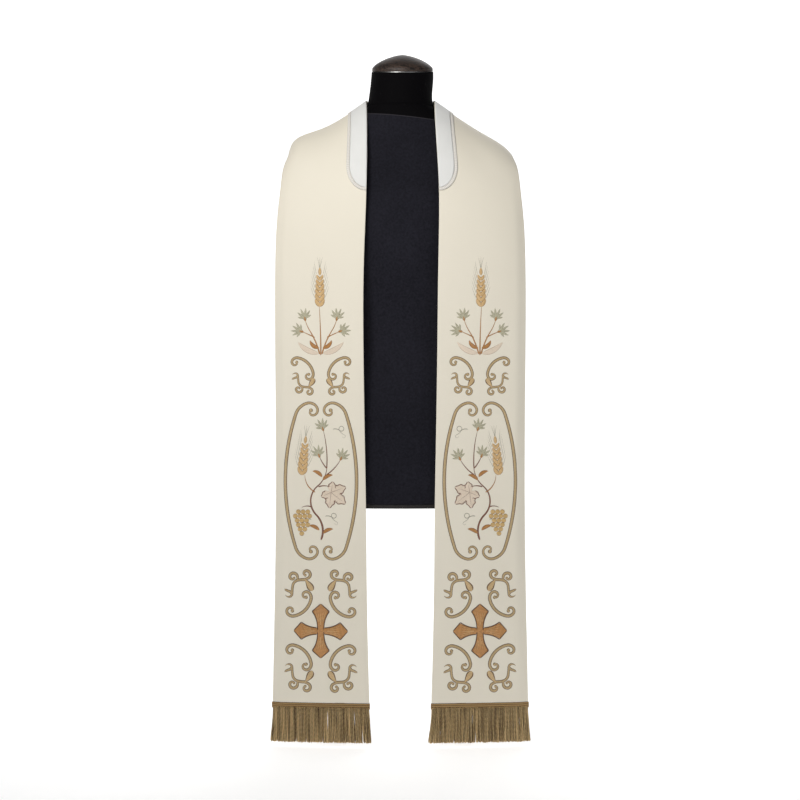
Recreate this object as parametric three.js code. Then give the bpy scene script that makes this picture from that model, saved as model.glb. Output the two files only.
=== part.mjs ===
// A wide clerical stole resting on a limbless dress form.
//
// Each half of the stole is one band of stiffened damask. It hangs down the front, lies over the
// shoulder and runs round the back of the neck to a seam at the centre back. A washable neck guard
// with a narrow edging lies along the neck edge, and a braid heading with a bullion fringe hangs
// from each hem. The form stands on two uprights with runner feet, behind the bands.
//
// Millimetres, +Z up. The front faces -Y, and the origin is on the floor below the middle.

import * as THREE from 'three';

// ---- Sizes -----------------------------------------------------------------------------------

const SEAM_GAP = 0.3;
const LAID_GAP = 0.6;

const CLOTH_THICK = 2.2;
const BAND_WIDTH = 163;
const ROWS_PER_SECTION = 3;
const ROW_MARGIN = 0.3; // the least gap between rows, as a share of a row

// Distances up from the hem along the neck edge, and widths as shares of the band's width.
const GUARD_FOOT = 951;
const GUARD_CORNER = 50;
const GUARD_SHARE = 0.195;
const GUARD_THICK = 0.9;
const EDGING_WIDTH = 6;
const EDGING_THICK = 1.2;
const TURN_FROM = 0.88;
const SHOULDER_POWER = 5;

const HEADING_HEIGHT = 11;
const HEADING_THICK = 4;
const HEADING_FLARE = 1;
const FRINGE_BOTTOM = 8;
const FRINGE_THICK = 6;
const FRINGE_FLARE = 3;

const FORM_SIDES = 48;
const NECK_AXIS_Y = 2;
const NECK_FOOT = 1195;
const NECK_TOP = 1263;
const NECK_TILT = 0.18;
const NECK_LEAN = 4;
const NECK_TILT_FROM = NECK_FOOT + 10;
const CAP_RADIUS = 58;
const CAP_RISE = 32;
const CAP_LIP = 5; // the straight rim under the dome
const CAP_POINT = 4 / 3; // above 1 the dome is drawn up to its middle
const CAP_STEPS = 8;
const RING_HEIGHT = 1.6;

const BOARD_THICK = 8;
const UPRIGHT_X = 116;
const UPRIGHT_RADIUS = 9;
const UPRIGHT_SIDES = 24;
const RUNNER_WIDTH = 32;
const RUNNER_HEIGHT = 18;
const RUNNER_FRONT = -74;
const RUNNER_BACK = 129;

// The face of the right-hand band, a row a section, from the hem up the front, over the shoulder
// and round the back of the neck to the centre-back seam. The left-hand band mirrors it.
//   inner, outer   the neck edge and the outer edge
//   crown          how far the middle stands out from the line between them
//   left, right    how far the outer half stands out on each shoulder
//   turn           how far the outer edge turns back
const SECTIONS = [
  { inner: [57, -127, 81], outer: [236.5, -109, 81], crown: 2, left: 0, right: 0, turn: 3 },
  { inner: [60, -127, 200], outer: [234.5, -108, 200], crown: 3, left: 0, right: 0, turn: 4 },
  { inner: [62, -127, 320], outer: [232.5, -107, 320], crown: 3, left: 0, right: 0, turn: 5 },
  { inner: [63.5, -126, 455], outer: [231.5, -105, 455], crown: 3, left: 0, right: 0, turn: 6 },
  { inner: [66, -126, 600], outer: [232, -103, 600], crown: 3, left: 0, right: 0, turn: 6 },
  { inner: [68, -125, 740], outer: [233.5, -100, 740], crown: 4, left: 0, right: 0, turn: 6 },
  { inner: [68.5, -123, 860], outer: [234, -95, 858], crown: 5, left: 0, right: 0, turn: 5 },
  { inner: [67.5, -118, 960], outer: [232, -87, 954], crown: 6, left: 0, right: 0, turn: 4 },
  { inner: [66, -108, 1040], outer: [226, -75, 1024], crown: 6, left: 2, right: 0, turn: 2 },
  { inner: [64.5, -90, 1104], outer: [221, -56, 1070], crown: 5, left: 6, right: 1, turn: 0 },
  { inner: [64, -64, 1158], outer: [214, -31, 1096], crown: 3, left: 13, right: 3, turn: 0 },
  { inner: [64.5, -32, 1194], outer: [212, -8, 1105], crown: 1, left: 17, right: 5, turn: 0 },
  { inner: [65, 0, 1208], outer: [210, 14, 1106], crown: 1, left: 17, right: 5, turn: 0 },
  { inner: [59, 31, 1211], outer: [200, 42, 1098], crown: 4, left: 13, right: 4, turn: 0 },
  { inner: [43, 54, 1211], outer: [160, 84, 1076], crown: 7, left: 5, right: 1, turn: 0 },
  { inner: [22, 67, 1210], outer: [88, 110, 1056], crown: 7, left: 1, right: 0, turn: 0 },
  { inner: [0, 71, 1210], outer: [0, 117, 1050], crown: 5, left: 0, right: 0, turn: 0 },
];

// The torso of the form, a row a level. Each level is a rounded oval.
//   half_width, half_depth   of the oval
//   mid                      where its middle stands, front to back
//   power                    2 is an ellipse, more is squarer
const TORSO_LEVELS = [
  { z: 445, half_width: 156, half_depth: 103, mid: 0, power: 2.3 },
  { z: 452, half_width: 159, half_depth: 106, mid: 0, power: 2.3 },
  { z: 520, half_width: 166, half_depth: 112, mid: 1, power: 2.3 },
  { z: 590, half_width: 166, half_depth: 112, mid: 2, power: 2.3 },
  { z: 660, half_width: 155, half_depth: 105, mid: 2, power: 2.2 },
  { z: 740, half_width: 138, half_depth: 95, mid: 0, power: 2.2 },
  { z: 800, half_width: 136, half_depth: 95, mid: -1, power: 2.2 },
  { z: 870, half_width: 146, half_depth: 105, mid: -2, power: 2.2 },
  { z: 940, half_width: 157, half_depth: 111, mid: 0, power: 2.2 },
  { z: 1000, half_width: 164, half_depth: 108, mid: 3, power: 2.2 },
  { z: 1045, half_width: 172, half_depth: 100, mid: 6, power: 2.2 },
  { z: 1080, half_width: 180, half_depth: 92, mid: 8, power: 2.2 },
  { z: 1100, half_width: 183, half_depth: 87, mid: 9, power: 2.2 },
  { z: 1112, half_width: 184, half_depth: 84, mid: 9, power: 2.1 },
  { z: 1124, half_width: 172, half_depth: 81, mid: 9, power: 2.1 },
  { z: 1138, half_width: 153, half_depth: 77, mid: 9, power: 2.1 },
  { z: 1153, half_width: 132, half_depth: 73, mid: 9, power: 2.1 },
  { z: 1168, half_width: 109, half_depth: 69, mid: 8, power: 2 },
  { z: 1182, half_width: 86, half_depth: 65, mid: 6, power: 2 },
  { z: 1191, half_width: 71, half_depth: 63, mid: 4, power: 2 },
  { z: 1195, half_width: 65, half_depth: 62, mid: 2, power: 2 },
];

const NECK_PROFILE = [
  { z: NECK_FOOT, radius: 63 },
  { z: 1206, radius: 61 },
  { z: 1222, radius: 60 },
  { z: 1248, radius: 59.5 },
  { z: NECK_TOP, radius: 59 },
];

// ---- Materials -------------------------------------------------------------------------------

const finish = (color, roughness, metalness = 0) => ({ color, roughness, metalness });
const DAMASK = finish(0xeee7d8, 0.62);
const GUARD_COTTON = finish(0xecebe6, 0.8);
const EDGING_LACE = finish(0xe9e2d8, 0.85);
const GOLD_BRAID = finish(0x8a6a3c, 0.45, 0.3);
const BULLION = finish(0x8f7144, 0.4, 0.4);
const JERSEY = finish(0x202024, 0.85);
const NECK_JERSEY = finish(0x08080b, 0.8);
const CAP_WOOD = finish(0x463c39, 0.55);
const RING_METAL = finish(0xb8b4ac, 0.4, 0.6);
const STAND_STEEL = finish(0x18181b, 0.4, 0.5);
const STAND_WOOD = finish(0x161416, 0.6);

const model = new THREE.Group();

function addPiece(name, geometry, look) {
  const piece = new THREE.Mesh(geometry, new THREE.MeshStandardMaterial(look));
  piece.name = name;
  model.add(piece);
  return piece;
}

// ---- The face of the stole -------------------------------------------------------------------

const SIDES = { left: -1, right: 1 };

const edgeCurve = (pick) => {
  const points = SECTIONS.map((row) => new THREE.Vector3(...pick(row)));
  const curve = new THREE.CatmullRomCurve3(points, false, 'catmullrom', 0.5);
  curve.arcLengthDivisions = 1600;
  return curve;
};

const innerEdge = edgeCurve((row) => row.inner);
const outerEdge = edgeCurve((row) => row.outer);
const fullness = {
  left: edgeCurve((row) => [row.crown, row.left, row.turn]),
  right: edgeCurve((row) => [row.crown, row.right, row.turn]),
};
const neckEdgeLength = innerEdge.getLength();
const shoulderScale = (1 + 1 / SHOULDER_POWER) ** SHOULDER_POWER * (SHOULDER_POWER + 1);

// A point on the face. `run` goes from 0 at the hem to 1 at the centre back, and `across` from 0
// at the neck edge to 1 at the outer edge.
function facePoint(side, run, across) {
  const inner = innerEdge.getPoint(run);
  const chord = outerEdge.getPoint(run).sub(inner);
  const forward = innerEdge.getTangent(run).add(outerEdge.getTangent(run));
  const proud = chord.clone().cross(forward).normalize();
  const shape = fullness[side].getPoint(run);
  const crown = shape.x * 4 * across * (1 - across);
  const shoulder = shape.y * shoulderScale * across ** SHOULDER_POWER * (1 - across);
  const turn = shape.z * THREE.MathUtils.smoothstep(across, TURN_FROM, 1);
  return inner.addScaledVector(chord, across).addScaledVector(proud, crown + shoulder - turn);
}

// The same point moved `out` from the face along its normal, on the half that is asked for.
function clothPoint(side, run, across, out) {
  const step = 0.004;
  const before = Math.max(run - step, 0);
  const after = Math.min(run + step, 1);
  const along = facePoint(side, after, across).sub(facePoint(side, before, across));
  const sideways = facePoint(side, run, across + step).sub(facePoint(side, run, across - step));
  const normal = sideways.cross(along).normalize();
  const point = facePoint(side, run, across).addScaledVector(normal, out);
  point.x *= SIDES[side];
  return point;
}

// A box of unit size, bent: it has a column for each entry of `columns` and a row for each of
// `rows`, and `place` turns such a pair and a depth from 0 to 1 into a point.
function bentBox(columns, rows, place) {
  const box = new THREE.BoxGeometry(1, 1, 1, columns.length - 1, rows.length - 1, 1);
  const corners = box.translate(0.5, 0.5, 0.5).attributes.position;
  for (let i = 0; i < corners.count; i += 1) {
    const column = columns[Math.round(corners.getX(i) * (columns.length - 1))];
    const row = rows[Math.round(corners.getY(i) * (rows.length - 1))];
    const point = place(column, row, corners.getZ(i));
    corners.setXYZ(i, point.x, point.y, point.z);
  }
  box.computeVertexNormals();
  return box;
}

// ---- Where the cloth is divided, shared by the band and what lies on it -----------------------

const runAt = (distance) => innerEdge.getUtoTmapping(distance / neckEdgeLength);
const runPerMm = runAt(GUARD_FOOT + 1) - runAt(GUARD_FOOT);

// The guard's outline on one half: a quarter of an ellipse at its foot, then along the neck edge
// to the centre back. `lean` is the angle from straight down to the outline's outward direction.
const guardWidth = GUARD_SHARE * BAND_WIDTH;
const cornerTurns = [0, 15, 30, 45, 60, 75, 90].map(THREE.MathUtils.degToRad);
const cornerStops = cornerTurns.map((turn) => ({
  lean: Math.atan2(GUARD_CORNER * Math.sin(turn), guardWidth * Math.cos(turn)),
  outline: GUARD_SHARE * Math.sin(turn),
  run: runAt(GUARD_FOOT + GUARD_CORNER * (1 - Math.cos(turn))),
}));

const edgingFootRun = runAt(GUARD_FOOT - EDGING_WIDTH);
const cornerTopRun = cornerStops.at(-1).run;
const rowCount = (SECTIONS.length - 1) * ROWS_PER_SECTION;
const evenRuns = Array.from({ length: rowCount + 1 }, (_, row) => row / rowCount);
const rowMargin = ROW_MARGIN / rowCount;
const runsBelow = evenRuns.filter((run) => run < edgingFootRun - rowMargin);
const runsAbove = evenRuns.filter((run) => run > cornerTopRun + rowMargin);
const cornerRuns = cornerStops.map(({ run }) => run);
const bandRuns = [...runsBelow, edgingFootRun, ...cornerRuns, ...runsAbove];

const edgingShare = GUARD_SHARE + EDGING_WIDTH / BAND_WIDTH;
const bodyShares = [0.36, 0.48, 0.6, 0.7, 0.8, TURN_FROM, 0.94, 1];
const bandShares = [0, GUARD_SHARE / 2, GUARD_SHARE, edgingShare, ...bodyShares];

// ---- The bands -------------------------------------------------------------------------------

// The columns run from -X to +X on both halves, so that every face points out.
const columnsFor = (side, shares) => (side === 'right' ? shares : shares.toReversed());

function bandGeometry(side) {
  return bentBox(columnsFor(side, bandShares), bandRuns, (share, run, depth) => {
    const point = clothPoint(side, run, share, CLOTH_THICK * (depth - 1));
    point.x = SIDES[side] * Math.max(Math.abs(point.x), SEAM_GAP / 2);
    return point;
  });
}

// ---- The neck guard and its edging, each one strip from foot to foot round the neck ----------

// A strip along the outline from the left foot, round the neck, to the right foot. Its columns
// are { share, beyond } pairs: a share of the guard's width, then millimetres beyond its outline.
function neckStrip(columns, firstStop, out, thick) {
  const straight = runsAbove.map((run) => ({ lean: Math.PI / 2, outline: GUARD_SHARE, run }));
  const stops = [...cornerStops.slice(firstStop), ...straight];
  const left = stops.map((stop) => ({ ...stop, side: 'left' }));
  const right = stops.slice(0, -1).map((stop) => ({ ...stop, side: 'right' }));
  return bentBox(columns, [...left, ...right.toReversed()], (column, stop, depth) => {
    const { side, lean, outline } = stop;
    const run = stop.run - column.beyond * Math.cos(lean) * runPerMm;
    const span = outerEdge.getPoint(run).distanceTo(innerEdge.getPoint(run));
    const share = outline * column.share + (column.beyond * Math.sin(lean)) / span;
    const point = clothPoint(side, run, share, out + thick * depth);
    if (stop.run === 1) point.x = 0;
    return point;
  });
}

const guardColumns = [1, 0.5, 0].map((share) => ({ share, beyond: 0 }));
const edgingColumns = [EDGING_WIDTH, SEAM_GAP].map((beyond) => ({ share: 1, beyond }));

// ---- The heading and the fringe, hung from the hem in the plane of the band ------------------

function hangingGeometry(side, top, bottom, thick, flare) {
  return bentBox(columnsFor(side, bandShares), [1, 0], (share, drop, depth) => {
    const point = clothPoint(side, 0, share, -CLOTH_THICK / 2);
    point.x += SIDES[side] * flare * drop * (2 * share - 1);
    point.y += thick * (0.5 - depth);
    point.z = THREE.MathUtils.lerp(top, bottom, drop);
    return point;
  });
}

const hem = SECTIONS[0].inner[2] - SEAM_GAP;
const headingFoot = hem - HEADING_HEIGHT;

for (const side of Object.keys(SIDES)) {
  addPiece(`stole_band_${side}`, bandGeometry(side), DAMASK);
  const heading = hangingGeometry(side, hem, headingFoot, HEADING_THICK, HEADING_FLARE);
  addPiece(`fringe_heading_${side}`, heading, GOLD_BRAID);
  const skirtTop = headingFoot - SEAM_GAP;
  const skirt = hangingGeometry(side, skirtTop, FRINGE_BOTTOM, FRINGE_THICK, FRINGE_FLARE);
  addPiece(`fringe_${side}`, skirt, BULLION);
}
const guard = neckStrip(guardColumns, 1, LAID_GAP, GUARD_THICK);
addPiece('neck_guard', guard, GUARD_COTTON);
const edging = neckStrip(edgingColumns, 0, LAID_GAP, EDGING_THICK);
addPiece('neck_guard_edging', edging, EDGING_LACE);

// ---- The form --------------------------------------------------------------------------------

// A turned shape stood on the Z axis. The profile's points are radius and height.
function turned(profile, sides = FORM_SIDES) {
  const points = profile.map(([radius, z]) => new THREE.Vector2(radius, z));
  return new THREE.LatheGeometry(points, sides).rotateX(Math.PI / 2);
}

// An oval solid through levels: a turned shape of unit radius, each level then given its oval.
function ovalSolid(levels) {
  const rings = levels.map(({ z }) => [1, z]);
  const profile = [[0, levels[0].z], ...rings, [0, levels.at(-1).z]];
  const geometry = turned(profile);
  const corners = geometry.attributes.position;
  for (let i = 0; i < corners.count; i += 1) {
    const x = corners.getX(i);
    const y = corners.getY(i);
    const z = corners.getZ(i);
    const level = levels.find((row) => Math.abs(row.z - z) < 0.01);
    const radius = Math.hypot(x, y);
    if (radius < 0.5) {
      corners.setXYZ(i, 0, level.mid, z);
    } else {
      const squared = (value) => Math.sign(value) * Math.abs(value / radius) ** (2 / level.power);
      corners.setXYZ(i, level.half_width * squared(x), level.mid + level.half_depth * squared(y), z);
    }
  }
  geometry.computeVertexNormals();
  return geometry;
}

// The neck's top and what stands on it tip forward and lean a little to one side.
function onNeck(geometry) {
  const corners = geometry.attributes.position;
  for (let i = 0; i < corners.count; i += 1) {
    const x = corners.getX(i);
    const y = corners.getY(i);
    const z = corners.getZ(i);
    const climb = THREE.MathUtils.smoothstep(z, NECK_TILT_FROM, NECK_TOP);
    corners.setXYZ(i, x + NECK_LEAN * climb, y + NECK_AXIS_Y, z + NECK_TILT * climb * y);
  }
  geometry.computeVertexNormals();
  return geometry;
}

function neckGeometry() {
  const foot = NECK_FOOT + SEAM_GAP;
  const rings = NECK_PROFILE.map(({ radius, z }) => [radius, Math.max(z, foot)]);
  return onNeck(turned([[0, foot], ...rings, [0, NECK_TOP]]));
}

function capGeometry(foot) {
  const dome = CAP_RISE - CAP_LIP;
  const profile = [[0, foot], [CAP_RADIUS, foot]];
  for (let i = 0; i < CAP_STEPS; i += 1) {
    const angle = (i / CAP_STEPS) * (Math.PI / 2);
    const radius = CAP_RADIUS * Math.cos(angle) ** CAP_POINT;
    profile.push([radius, foot + CAP_LIP + dome * Math.sin(angle) ** CAP_POINT]);
  }
  profile.push([0, foot + CAP_RISE]);
  return onNeck(turned(profile));
}

const ringFoot = NECK_TOP + SEAM_GAP;
const ringTop = ringFoot + RING_HEIGHT;
const ringProfile = [[0, ringFoot], [CAP_RADIUS, ringFoot], [CAP_RADIUS, ringTop], [0, ringTop]];

addPiece('form_torso', ovalSolid(TORSO_LEVELS), JERSEY);
addPiece('form_neck', neckGeometry(), NECK_JERSEY);
addPiece('form_cap_ring', onNeck(turned(ringProfile)), RING_METAL);
addPiece('form_cap', capGeometry(ringTop + SEAM_GAP), CAP_WOOD);

// ---- The stand -------------------------------------------------------------------------------

const torsoFoot = TORSO_LEVELS[0];
const boardTop = torsoFoot.z - SEAM_GAP;
const boardFoot = boardTop - BOARD_THICK;
const board = ovalSolid([{ ...torsoFoot, z: boardFoot }, { ...torsoFoot, z: boardTop }]);
addPiece('form_base_board', board, STAND_WOOD);

for (const [side, sign] of Object.entries(SIDES)) {
  const runnerLength = RUNNER_BACK - RUNNER_FRONT;
  const runner = new THREE.BoxGeometry(RUNNER_WIDTH, runnerLength, RUNNER_HEIGHT);
  const runnerPiece = addPiece(`stand_runner_${side}`, runner, STAND_WOOD);
  const runnerMiddle = (RUNNER_FRONT + RUNNER_BACK) / 2;
  runnerPiece.position.set(sign * UPRIGHT_X, runnerMiddle, RUNNER_HEIGHT / 2);

  const foot = RUNNER_HEIGHT + SEAM_GAP;
  const length = boardFoot - SEAM_GAP - foot;
  const tube = new THREE.CylinderGeometry(UPRIGHT_RADIUS, UPRIGHT_RADIUS, length, UPRIGHT_SIDES);
  const upright = addPiece(`stand_upright_${side}`, tube.rotateX(Math.PI / 2), STAND_STEEL);
  upright.position.set(sign * UPRIGHT_X, 0, foot + length / 2);
}

export default model;
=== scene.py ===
import math
import random
from bisect import bisect_right
from collections import namedtuple
from functools import cache

import bmesh
import bpy
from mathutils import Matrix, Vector
from mathutils.bvhtree import BVHTree


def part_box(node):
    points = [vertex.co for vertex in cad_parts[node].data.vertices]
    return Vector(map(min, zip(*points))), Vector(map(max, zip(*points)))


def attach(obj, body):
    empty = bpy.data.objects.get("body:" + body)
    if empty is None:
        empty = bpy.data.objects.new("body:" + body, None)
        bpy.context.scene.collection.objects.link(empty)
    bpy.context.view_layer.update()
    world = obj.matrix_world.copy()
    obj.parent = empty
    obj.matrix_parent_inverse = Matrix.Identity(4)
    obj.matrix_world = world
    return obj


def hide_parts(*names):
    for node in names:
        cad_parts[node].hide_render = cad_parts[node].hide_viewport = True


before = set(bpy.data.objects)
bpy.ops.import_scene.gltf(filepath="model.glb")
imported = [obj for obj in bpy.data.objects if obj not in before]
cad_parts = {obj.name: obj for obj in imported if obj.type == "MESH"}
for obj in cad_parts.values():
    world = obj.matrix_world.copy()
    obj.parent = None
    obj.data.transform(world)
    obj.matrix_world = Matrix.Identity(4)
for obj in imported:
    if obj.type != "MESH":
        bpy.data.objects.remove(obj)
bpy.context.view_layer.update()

MM = 0.001

# --------------------
# Camera, light and floor. A level camera stands three metres off at the height of the form's
# waist. The main light hangs high to the left, a weak one fills in from the right, and two
# behind the form light its back and the white sweep.
EYE_HEIGHT = 0.638
EYE_SIDE = -0.0007
BAND_PLANE = -0.12
CAMERA_DISTANCE = 3.2
VIEW_WIDTH = 1.472
SENSOR = 36.0
WORLD_STRENGTH = 0.09

scene = bpy.context.scene
scene.view_settings.view_transform = "Standard"

camera_data = bpy.data.cameras.new("camera")
camera_data.sensor_width = SENSOR
camera_data.lens = SENSOR * CAMERA_DISTANCE / VIEW_WIDTH
camera = bpy.data.objects.new("camera", camera_data)
camera.location = (EYE_SIDE, BAND_PLANE - CAMERA_DISTANCE, EYE_HEIGHT)
camera.rotation_euler = (math.radians(90), 0, 0)
scene.collection.objects.link(camera)
scene.camera = camera

Lamp = namedtuple("Lamp", "name place aim size watts colour spread")
LAMPS = [Lamp(*row) for row in (
    ("key_light", (-0.75, -1.8, 2.25), (0.06, 0, 0.94), 0.9, 5.2, (1.0, 0.985, 0.955), 60),
    ("fill_light", (1.9, -2.6, 1.5), (0, 0, 0.7), 1.6, 4, (0.97, 0.985, 1.0), 180),
    ("back_light", (0.3, 2.2, 2.6), (0, 0, 0.9), 1.6, 14, (1.0, 1.0, 1.0), 180),
    ("backdrop_light", (0, 1.4, 2.6), (0, 3.4, 0.7), 2.0, 24, (1.0, 1.0, 1.0), 180),
)]
for lamp in LAMPS:
    light = bpy.data.lights.new(lamp.name, "AREA")
    light.size = lamp.size
    light.energy = lamp.watts
    light.color = lamp.colour
    light.spread = math.radians(lamp.spread)
    stand = bpy.data.objects.new(lamp.name, light)
    stand.location = lamp.place
    stand.rotation_euler = (Vector(lamp.aim) - Vector(lamp.place)).to_track_quat("-Z", "Y").to_euler()
    scene.collection.objects.link(stand)

world = bpy.data.worlds.new("studio")
world.use_nodes = True
background = world.node_tree.nodes["Background"].inputs
background["Color"].default_value = (1.0, 1.0, 1.0, 1.0)
background["Strength"].default_value = WORLD_STRENGTH
scene.world = world


class Socket:
    """A node's output. Sums on it add Math nodes, and node() adds a node of any other kind."""

    def __init__(self, tree, link):
        self.tree = tree
        self.link = link

    def node(self, kind, settings, sockets, out=0):
        made = self.tree.nodes.new("ShaderNode" + kind)
        for name, value in settings.items():
            setattr(made, name, value)
        for name, value in sockets.items():
            if isinstance(value, Socket):
                self.tree.links.new(value.link, made.inputs[name])
            else:
                made.inputs[name].default_value = value
        return Socket(self.tree, made.outputs[out])

    def maths(self, operation, *values):
        return self.node("Math", {"operation": operation}, dict(enumerate(values)))

    def __add__(self, other):
        return self.maths("ADD", self, other)

    def __sub__(self, other):
        return self.maths("SUBTRACT", self, other)

    def __rsub__(self, other):
        return self.maths("SUBTRACT", other, self)

    def __mul__(self, other):
        return self.maths("MULTIPLY", self, other)

    def __abs__(self):
        return self.maths("ABSOLUTE", self)

    __radd__ = __add__
    __rmul__ = __mul__

    def sine(self):
        return self.maths("SINE", self)

    def ramp(self, low, high):
        """0 below low, 1 above high, and a soft rise between them."""
        return self.node("MapRange", {"interpolation_type": "SMOOTHSTEP"},
                         {"Value": self, "From Min": low, "From Max": high})

    def part(self, axis):
        return self.node("SeparateXYZ", {}, {0: self}, out=axis)

    def stretched(self, by):
        return self.node("VectorMath", {"operation": "MULTIPLY"}, {0: self, 1: by})

    def noise(self, scale=1.0, detail=2.0):
        return self.node("TexNoise", {}, {"Vector": self, "Scale": scale, "Detail": detail})

    def tint(self, first, second):
        """The colour first where this is 0, and second where it is 1."""
        colours = [value if isinstance(value, Socket) else (*value, 1.0) for value in (first, second)]
        return self.node("Mix", {"data_type": "RGBA"}, {0: self, 6: colours[0], 7: colours[1]}, out=2)

    def bump(self, height, strength=1.0):
        """A normal bent by this height, whose full range is `height` metres."""
        return self.node("Bump", {}, {"Height": self, "Distance": height, "Strength": strength})


def new_finish(name, plain):
    """A material, and its shader to add nodes from. `plain` holds what is the same all over."""
    material = bpy.data.materials.new(name)
    material.use_nodes = True
    shader = material.node_tree.nodes["Principled BSDF"]
    for socket, value in plain.items():
        shader.inputs[socket].default_value = value
    return material, Socket(material.node_tree, shader.outputs[0])


def feed(shader, links):
    for socket, value in links.items():
        shader.tree.links.new(value.link, shader.link.node.inputs[socket])


def object_place(shader):
    return shader.node("TexCoord", {}, {}, out="Object")


def cloth_uv(shader):
    return shader.node("UVMap", {"uv_map": "cloth"}, {})


def put_in_scene(name, bm, material):
    """A finished mesh as an object at the origin, with smooth faces."""
    mesh = bpy.data.meshes.new(name)
    bm.to_mesh(mesh)
    bm.free()
    mesh.materials.append(material)
    mesh.shade_smooth()
    piece = bpy.data.objects.new(name, mesh)
    scene.collection.objects.link(piece)
    return piece


sweep_finish, shader = new_finish("white_sweep", {"Roughness": 0.9, "Emission Strength": 0.63})
grain = object_place(shader).noise(90.0, 4.0)
feed(shader, {
    "Base Color": grain.tint((0.90, 0.90, 0.90), (0.93, 0.93, 0.93)),
    "Emission Color": grain.tint((0.97, 0.97, 0.97), (1.0, 1.0, 1.0)),
})

SWEEP_HALF_WIDTH = 6.0
SWEEP_FRONT = -5.0
SWEEP_BACK = 2.6
SWEEP_BEND = 1.2
SWEEP_HEIGHT = 4.5

sweep = bmesh.new()
front_left = sweep.verts.new((-SWEEP_HALF_WIDTH, SWEEP_FRONT, 0))
back_left = sweep.verts.new((-SWEEP_HALF_WIDTH, SWEEP_BACK, 0))
edge = sweep.edges.new((front_left, back_left))
bmesh.ops.spin(sweep, geom=[back_left], angle=math.radians(90), steps=16, axis=(1, 0, 0),
               cent=(-SWEEP_HALF_WIDTH, SWEEP_BACK, SWEEP_BEND))
top = max(sweep.verts, key=lambda vert: vert.co.z)
wall = bmesh.ops.extrude_vert_indiv(sweep, verts=[top])["verts"][0]
wall.co.z = SWEEP_HEIGHT
across = bmesh.ops.extrude_edge_only(sweep, edges=sweep.edges[:])["geom"]
for vert in across:
    if isinstance(vert, bmesh.types.BMVert):
        vert.co.x = SWEEP_HALF_WIDTH
bmesh.ops.recalc_face_normals(sweep, faces=sweep.faces[:])
if min(sweep.faces, key=lambda face: face.calc_center_median().z).normal.z < 0:
    bmesh.ops.reverse_faces(sweep, faces=sweep.faces[:])
put_in_scene("studio_sweep", sweep, sweep_finish)

# A pale room round the sweep, so that no side is looked at against the dark. It gives no light.
ROOM_SIZE = 30.0

room_finish, shader = new_finish("pale_room", {
    "Base Color": (0.0, 0.0, 0.0, 1.0), "Specular IOR Level": 0.0,
    "Emission Color": (0.93, 0.93, 0.93, 1.0), "Emission Strength": 1.0,
})
room = bmesh.new()
bmesh.ops.create_cube(room, size=ROOM_SIZE)
bmesh.ops.reverse_faces(room, faces=room.faces[:])
room = put_in_scene("studio_room", room, room_finish)
for sort in ("diffuse", "glossy", "transmission", "volume_scatter", "shadow"):
    setattr(room, f"visible_{sort}", False)

# --------------------
# The bands. Each half of the stole is ivory wool-silk cloth over stiff canvas, lined, in one
# length from the fringed hem over the shoulder to a seam behind the neck. It hangs plumb.
CLOTH_THICK = 2.2 * MM
TURN_FROM = 0.88
SHOULDER_POWER = 5
SEAM_GAP = 0.3 * MM

# The face of the right-hand band in millimetres, a row a section, from the hem to the centre
# back. Crown is the fullness of the middle, left and right that of the shoulder on each half,
# and turn is how far the outer edge turns back.
Section = namedtuple("Section", "inner outer crown left right turn")
SECTIONS = [Section(*row) for row in (
    ((57, -127, 81), (236.5, -109, 81), 2, 0, 0, 3),
    ((60, -127, 200), (234.5, -108, 200), 3, 0, 0, 4),
    ((62, -127, 320), (232.5, -107, 320), 3, 0, 0, 5),
    ((63.5, -126, 455), (231.5, -105, 455), 3, 0, 0, 6),
    ((66, -126, 600), (232, -103, 600), 3, 0, 0, 6),
    ((68, -125, 740), (233.5, -100, 740), 4, 0, 0, 6),
    ((68.5, -123, 860), (234, -95, 858), 5, 0, 0, 5),
    ((67.5, -118, 960), (232, -87, 954), 6, 0, 0, 4),
    ((66, -108, 1040), (226, -75, 1024), 6, 2, 0, 2),
    ((64.5, -90, 1104), (221, -56, 1070), 5, 6, 1, 0),
    ((64, -64, 1158), (214, -31, 1096), 3, 13, 3, 0),
    ((64.5, -32, 1194), (212, -8, 1105), 1, 17, 5, 0),
    ((65, 0, 1208), (210, 14, 1106), 1, 17, 5, 0),
    ((59, 31, 1211), (200, 42, 1098), 4, 13, 4, 0),
    ((43, 54, 1211), (160, 84, 1076), 7, 5, 1, 0),
    ((22, 67, 1210), (88, 110, 1056), 7, 1, 0, 0),
    ((0, 71, 1210), (0, 117, 1050), 5, 0, 0, 0),
)]
SIDES = {"left": -1, "right": 1}

# Soft troughs and ridges in the cloth, in millimetres: where each one's middle lies, across
# from the neck edge and up from the hem, the way it runs in degrees from level, and its size.
Crease = namedtuple("Crease", "across up slant length width depth")
CREASES = {
    "left": [Crease(*row) for row in (
        (70, 1010, 128, 190, 26, -1.5),
        (110, 900, 96, 300, 34, 1.2),
        (45, 620, 91, 420, 30, -0.9),
        (125, 380, 88, 460, 30, 1.0),
        (60, 170, 93, 240, 26, 0.9),
        (95, 1260, 70, 150, 22, -1.4),
        (70, 1370, 100, 120, 20, 1.1),
    )],
    "right": [Crease(*row) for row in (
        (84, 1030, 118, 170, 24, -1.3),
        (120, 860, 86, 320, 36, 1.1),
        (50, 560, 92, 400, 30, 0.9),
        (112, 330, 90, 430, 28, -0.9),
        (90, 150, 86, 220, 26, 0.8),
        (80, 1250, 105, 140, 22, 1.2),
        (100, 1360, 78, 130, 20, -1.2),
    )],
}


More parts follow.
